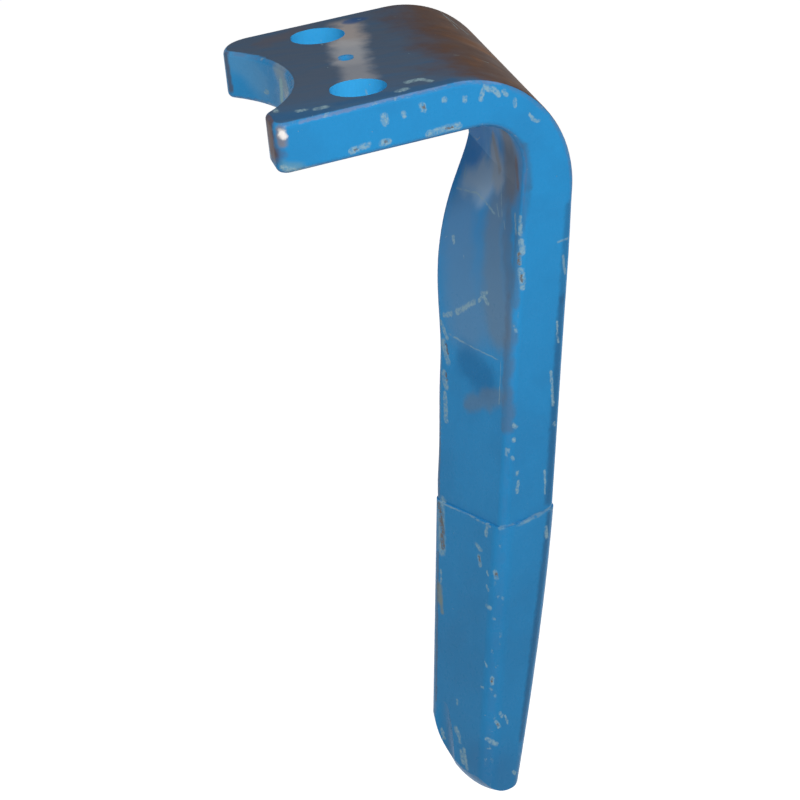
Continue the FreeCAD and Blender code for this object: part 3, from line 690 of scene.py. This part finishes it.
# %% [markdown]
# ## Rust in the deepest chips
#
# In a few chips the steel itself is open and has rusted brown.  They get a
# smaller stroke of their own inside the pale one.

# %% Rust cores
RUST_CORES = {
    "third_along": (423, 106, 424, 108, 0.8),
    "low_third": (385, 142, 387, 141, 0.8),
    "low_first": (355, 150, 357, 149, 0.7),
    "low_scuff": (446, 129, 453, 127, 0.7),
    "left_edge_second": (446, 344, 448, 354, 0.8),
    "left_edge_third": (446, 374, 447, 380, 0.8),
    "near_edge_dark": (519, 254, 519, 263, 1.0),
    "near_edge_fourth": (521, 275, 522, 281, 0.8),
    "gouge_top": (439, 505, 442, 516, 1.7),
    "gouge_middle": (441, 519, 443, 533, 1.9),
    "gouge_low": (442, 536, 443, 547, 1.7),
    "blade_chip_c": (479, 557, 480, 561, 0.8),
    "blade_chip_e": (496, 574, 497, 577, 0.9),
    "low_b": (492, 680, 492, 682, 0.6),
    "low_e": (497, 724, 498, 726, 0.7),
}
core = strokes(chip_place, RUST_CORES.values())
print(len(RUST_CORES), "rust cores")

# %% [markdown]
# ## Small random chips along the edges
#
# The sides that the photograph doesn't show have lived the same life.  Edges
# take the most knocks, so small chips are scattered where the surface turns:
# on the flange an edge is where it looks neither up nor level, on the bend where
# it looks neither sideways nor square to that, and on the leg where it looks
# along neither of the leg's two flat directions.

# %% Find the edges
FLANGE_EDGE_BAND = (0.22, 0.60)
BEND_EDGE_BAND = (0.26, 0.60)
BEND_STARTS = 36.0
BEND_FADE = 3.0
# a hair over one, so that rounding never asks for the root of less than nothing
JUST_OVER_ONE = 1.0001


def square_to(share):
    """The rest of a facing whose one part is share, by Pythagoras."""
    return recipe.sum("SQRT", recipe.sum("SUBTRACT", JUST_OVER_ONE, recipe.sum(
        "MULTIPLY", share, share)))


up_share = recipe.sum("ABSOLUTE", split_facing["Z"])
flange_edge = recipe.ease(recipe.sum("MINIMUM", up_share, square_to(up_share)),
                          *FLANGE_EDGE_BAND)
side_share = recipe.sum("ABSOLUTE", split_facing["Y"])
bend_edge = recipe.ease(recipe.sum("MINIMUM", side_share, square_to(side_share)),
                        *BEND_EDGE_BAND)
on_bend = recipe.ease(split_place["X"], BEND_STARTS, BEND_STARTS + BEND_FADE)
flange_edge = recipe.sum("ADD", recipe.sum("MULTIPLY", bend_edge, on_bend), recipe.sum(
    "MULTIPLY", flange_edge, recipe.sum("SUBTRACT", 1.0, on_bend)))
print("the bend's edges take over from", BEND_STARTS, "mm on")

# %% Edges of the leg
LEG_TWIST = math.radians(24.6)
LEG_DEEP_WAY = (math.cos(LEG_TWIST), math.sin(LEG_TWIST), 0.0)
LEG_WIDE_WAY = (-math.sin(LEG_TWIST), math.cos(LEG_TWIST), 0.0)
LEG_EDGE_BAND = (0.34, 0.62)
LEG_REACH = (-44.0, -62.0)

deep_facing = recipe.sum("ABSOLUTE", recipe.vector("DOT_PRODUCT", facing, LEG_DEEP_WAY))
wide_facing = recipe.sum("ABSOLUTE", recipe.vector("DOT_PRODUCT", facing, LEG_WIDE_WAY))
leg_edge = recipe.ease(recipe.sum("MINIMUM", deep_facing, wide_facing), *LEG_EDGE_BAND)
on_leg = recipe.ease(split_place["Z"], *LEG_REACH)
edge = recipe.sum("MAXIMUM", recipe.sum("MULTIPLY", flange_edge, recipe.sum(
    "SUBTRACT", 1.0, on_leg)), recipe.sum("MULTIPLY", leg_edge, on_leg))
print("edges are found from the facing, so every side gets them")

# %% Scatter the small chips
KNOCK_GRAIN = 4.2
KNOCK_BAND = (0.60, 0.68)
STRAY_GRAIN = 3.0
STRAY_BAND = (0.735, 0.780)

knocks = recipe.noise(place, KNOCK_GRAIN, detail=4.0, roughness=0.62,
                      shift=11.0).outputs["Fac"]
edge_chip = recipe.sum("MULTIPLY", recipe.ease(knocks, *KNOCK_BAND), edge)
stray = recipe.noise(place, STRAY_GRAIN, detail=3.0, roughness=0.6,
                     shift=53.0).outputs["Fac"]
stray_chip = recipe.ease(stray, *STRAY_BAND)
print("knocks along the edges are lumps of", KNOCK_GRAIN, "mm")

# %% [markdown]
# ## Put the chips into the colour
#
# The rim of a chip is ragged because its place is bent, and its middle is
# mottled by a fine noise of its own.  Pale primer goes over the blue, and rust
# over the primer.  Along every edge the enamel is thin, so a little grey shows
# through.

# %% Thin paint along the edges
THIN_PAINT = (0.125, 0.170, 0.300)
EDGE_WEAR = 0.42
LEG_EDGE_WEAR = 0.25
THIN_BAND = (0.25, 0.65)

wear = recipe.sum("MULTIPLY", edge, recipe.range(on_leg, 1.0, LEG_EDGE_WEAR))
thin = recipe.sum("MULTIPLY", wear, recipe.ease(fine_cloud, *THIN_BAND))
colour = recipe.mix(recipe.sum("MULTIPLY", thin, EDGE_WEAR), colour, THIN_PAINT)
print("edges of the leg wear", LEG_EDGE_WEAR, "times as much as the flange's")

# %% Primer in the chips and scratches, and the thin painted highlights
# The same pale colour draws the thin painted highlights as well as the primer.
PRIMER_AND_GLINT = (0.360, 0.540, 0.590)
PRIMER_AND_GLINT_DULL = (0.240, 0.350, 0.380)
CHIP_BAND = (0.02, 0.55)
CHIP_COVER = 0.72
SMALL_CHIP_COVER = 0.7
SCRATCH_AND_GLINT_COVER = 0.8
MOTTLE_GRAIN = 1.1
MOTTLE_BAND = (0.34, 0.60)
MOTTLE_LEAST = 0.25

placed_chip = recipe.ease(recipe.sum("MAXIMUM", recipe.sum(
    "MAXIMUM", flange_chip, leg_chip), blade_chip), *CHIP_BAND)
mottle = recipe.noise(place, MOTTLE_GRAIN, detail=3.0, roughness=0.65,
                      shift=7.0).outputs["Fac"]
placed_chip = recipe.sum("MULTIPLY", placed_chip, recipe.range(
    recipe.ease(mottle, *MOTTLE_BAND), MOTTLE_LEAST, 1.0))
chipped = recipe.sum("MAXIMUM", placed_chip, recipe.sum(
    "MULTIPLY", recipe.sum("MAXIMUM", edge_chip, stray_chip), SMALL_CHIP_COVER))
primer_and_glint = recipe.mix(mottle, PRIMER_AND_GLINT_DULL, PRIMER_AND_GLINT)
marked = recipe.sum("MAXIMUM", chipped, recipe.sum("MULTIPLY", scratch_and_glint, SCRATCH_AND_GLINT_COVER))
colour = recipe.mix(recipe.sum("MULTIPLY", marked, CHIP_COVER), colour, primer_and_glint)
print("primer shows through in chips and scratches")

# %% Rust over the primer
CORE_RUST = (0.130, 0.078, 0.050)
CORE_BAND = (0.10, 0.60)
CORE_MOTTLE_BAND = (0.38, 0.55)
CORE_COVER = 0.75

rust_core = recipe.sum("MULTIPLY", recipe.ease(core, *CORE_BAND),
                       recipe.ease(mottle, *CORE_MOTTLE_BAND))
colour = recipe.mix(recipe.sum("MULTIPLY", rust_core, CORE_COVER), colour, CORE_RUST)
print("rust covers the cores by", CORE_COVER)

# %% [markdown]
# ## The finish itself
#
# Enamel is a smooth gloss, the top under the film of painted shade is duller, and a chip is
# matt.
# Dust dulls the inside of the bend and the end of the near horn as well.  All
# of that is roughness.  How strongly the surface mirrors is one number for the
# whole tine, so it is set on the shader's own socket.  The relief is kept
# small: slow waves from the forging hammers, the fine ripple of sprayed paint,
# and the small chips and rust cores that go through to the steel.

# %% Where dust dulls the enamel
DULL_FACING = (-0.12, -0.40)
DULL_HEIGHT = (-95.0, -70.0)
DULL_REACH = (20.0, 26.0)
HORN_END = (269, 122, 274, 156, 8.0)
HORN_END_BAND = (0.0, 0.5)

under_bend = recipe.sum("MULTIPLY", recipe.ease(split_facing["X"], *DULL_FACING),
                        recipe.ease(split_place["Z"], *DULL_HEIGHT))
under_bend = recipe.sum("MULTIPLY", under_bend,
                        recipe.ease(split_place["X"], *DULL_REACH))
horn_end = recipe.ease(strokes(patch_place, [HORN_END]), *HORN_END_BAND)
dull = recipe.sum("MAXIMUM", top_shade_share, recipe.sum("MAXIMUM", under_bend, horn_end))
print("dust lies above", DULL_HEIGHT[0], "mm inside the bend")

# %% Roughness
GLOSS = (0.24, 0.38)
GLOSS_BAND = (0.3, 0.7)
FILM_ROUGHNESS = (0.38, 0.66)
CHIP_ROUGHNESS = 0.72


def between(share, under, over):
    """A plain number that goes from under to over."""
    step = recipe.sum("MULTIPLY", share, recipe.sum("SUBTRACT", over, under))
    return recipe.sum("ADD", under, step)


roughness = recipe.range(recipe.ease(fine_cloud, *GLOSS_BAND), *GLOSS)
roughness = between(dull, roughness, recipe.range(streaks, *FILM_ROUGHNESS))
roughness = between(recipe.sum("MAXIMUM", chipped, rust_core), roughness, CHIP_ROUGHNESS)
print("roughness goes from", GLOSS[0], "on enamel to", CHIP_ROUGHNESS, "in a chip")

# %% Relief
FORGING_GRAIN = 17.0
FORGING_WAVE = 0.10
RIPPLE_GRAIN = 1.4
PAINT_RIPPLE = 0.012
CHIP_DEPTH = 0.10

waves = recipe.noise(place, FORGING_GRAIN, detail=2.0, roughness=0.45,
                     shift=3.0).outputs["Fac"]
ripple = recipe.noise(place, RIPPLE_GRAIN, detail=2.0, roughness=0.5,
                      shift=19.0).outputs["Fac"]
height = recipe.sum("MULTIPLY", waves, FORGING_WAVE)
height = recipe.sum("ADD", height, recipe.sum("MULTIPLY", ripple, PAINT_RIPPLE))
sunk = recipe.sum("MAXIMUM", recipe.sum("MAXIMUM", edge_chip, stray_chip), rust_core)
height = recipe.sum("SUBTRACT", height, recipe.sum("MULTIPLY", sunk, CHIP_DEPTH))
height = recipe.sum("DIVIDE", height, MILLIMETRES)
relief = recipe.node("ShaderNodeBump", {"Height": height, "Distance": 1.0,
                                        "Strength": 1.0}).outputs["Normal"]
print("a chip is", CHIP_DEPTH, "mm deep")

# %% The shader
SHINE = 0.11

shader = recipe.node("ShaderNodeBsdfPrincipled", {
    "Base Color": colour, "Roughness": roughness, "Normal": relief,
    "Specular IOR Level": SHINE})
recipe.node("ShaderNodeOutputMaterial", {"Surface": shader.outputs[0]})
for slot in tine.material_slots:
    slot.material = enamel
print("enamel recipe:", len(enamel.node_tree.nodes), "nodes")

# %% [markdown]
# ## The studio
#
# The photograph was lit softly from near the camera, so the near sides are
# brightest and the light falls off down the leg.  A soft box hangs a little
# above the camera and to its right, nearer to the tine, so that its light falls
# off in the same way.  A weaker one fills from the left, and the world gives an
# even fill.  The background is white, which comes only from what camera, mirror
# and glass rays see, so it puts no extra light on the steel.

# %% Lamps
TARGET = Vector((0.01, -0.01, -0.10))
KEY_PLACE = (0.08, -0.66, 0.42)
KEY_WIDTH = 0.24
KEY_WATTS = 4.8
LEFT_PLACE = (-1.10, -0.30, 0.35)
LEFT_WIDTH = 0.60
LEFT_WATTS = 1.6


def soft_lamp(name, place, width, watts):
    """A square soft box, width metres wide, that looks at the tine's middle."""
    light = bpy.data.lights.new(name, "AREA")
    light.size = width
    light.energy = watts
    lamp = bpy.data.objects.new(name, light)
    lamp.location = place
    aim = TARGET - Vector(place)
    lamp.rotation_euler = aim.to_track_quat("-Z", "Y").to_euler()
    bpy.context.scene.collection.objects.link(lamp)
    return lamp


soft_lamp("key_box", KEY_PLACE, KEY_WIDTH, KEY_WATTS)
soft_lamp("left_box", LEFT_PLACE, LEFT_WIDTH, LEFT_WATTS)
print("lamps:", KEY_WATTS, "and", LEFT_WATTS, "watts")

# %% The world
FILL = 0.30
ROOM_OVERHEAD = 0.22
WALL_RISE = (-0.05, 0.14)

world = bpy.data.worlds.new("studio")
bpy.context.scene.world = world
world.use_nodes = True
world.node_tree.nodes.clear()
air = Recipe(world.node_tree)


def seen_directly(net):
    """1 for camera, mirror and glass rays, and 0 for the light that fills."""
    path = net.node("ShaderNodeLightPath").outputs
    seen = net.sum("MAXIMUM", path["Is Camera Ray"], path["Is Glossy Ray"])
    return net.sum("MAXIMUM", seen, path["Is Transmission Ray"])


rise = air.node("ShaderNodeSeparateXYZ", {
    0: air.node("ShaderNodeTexCoord").outputs["Generated"]}).outputs["Z"]
seen_white = air.range(air.ease(rise, *WALL_RISE), 1.0, ROOM_OVERHEAD)
share = seen_directly(air)
strength = air.sum("ADD", air.sum("MULTIPLY", share, seen_white),
                   air.sum("MULTIPLY", air.sum("SUBTRACT", 1.0, share), FILL))
backdrop = air.node("ShaderNodeBackground", {"Color": (1, 1, 1, 1), "Strength": strength})
air.node("ShaderNodeOutputWorld", {"Surface": backdrop.outputs[0]})
print("the world fills with", FILL, "and is seen as white near the floor")

# %% The floor
FLOOR_DROP = 0.12
FLOOR_REACH = 12.0
FLOOR_PAINT = 0.80
FLOOR_GLOW = 0.75

floor_paint = bpy.data.materials.new("floor_paint")
floor_paint.use_nodes = True
floor_paint.node_tree.nodes.clear()
ground = Recipe(floor_paint.node_tree)
matt = ground.node("ShaderNodeBsdfDiffuse", {"Color": (FLOOR_PAINT,) * 3 + (1,)})
shown = ground.sum("MULTIPLY", seen_directly(ground), FLOOR_GLOW)
glow = ground.node("ShaderNodeEmission", {"Color": (1, 1, 1, 1), "Strength": shown})
both = ground.node("ShaderNodeAddShader", {0: matt.outputs[0], 1: glow.outputs[0]})
ground.node("ShaderNodeOutputMaterial", {"Surface": both.outputs[0]})

floor_height = cad_low.z - FLOOR_DROP
floor_mesh = bpy.data.meshes.new("floor")
floor_mesh.from_pydata([(x * FLOOR_REACH, y * FLOOR_REACH, floor_height)
                        for x, y in ((-1, -1), (1, -1), (1, 1), (-1, 1))],
                       [], [(0, 1, 2, 3)])
floor = bpy.data.objects.new("floor", floor_mesh)
floor_mesh.materials.append(floor_paint)
bpy.context.scene.collection.objects.link(floor)
bpy.context.scene.view_settings.view_transform = "Standard"
print("floor:", FLOOR_DROP, "m under the tip")
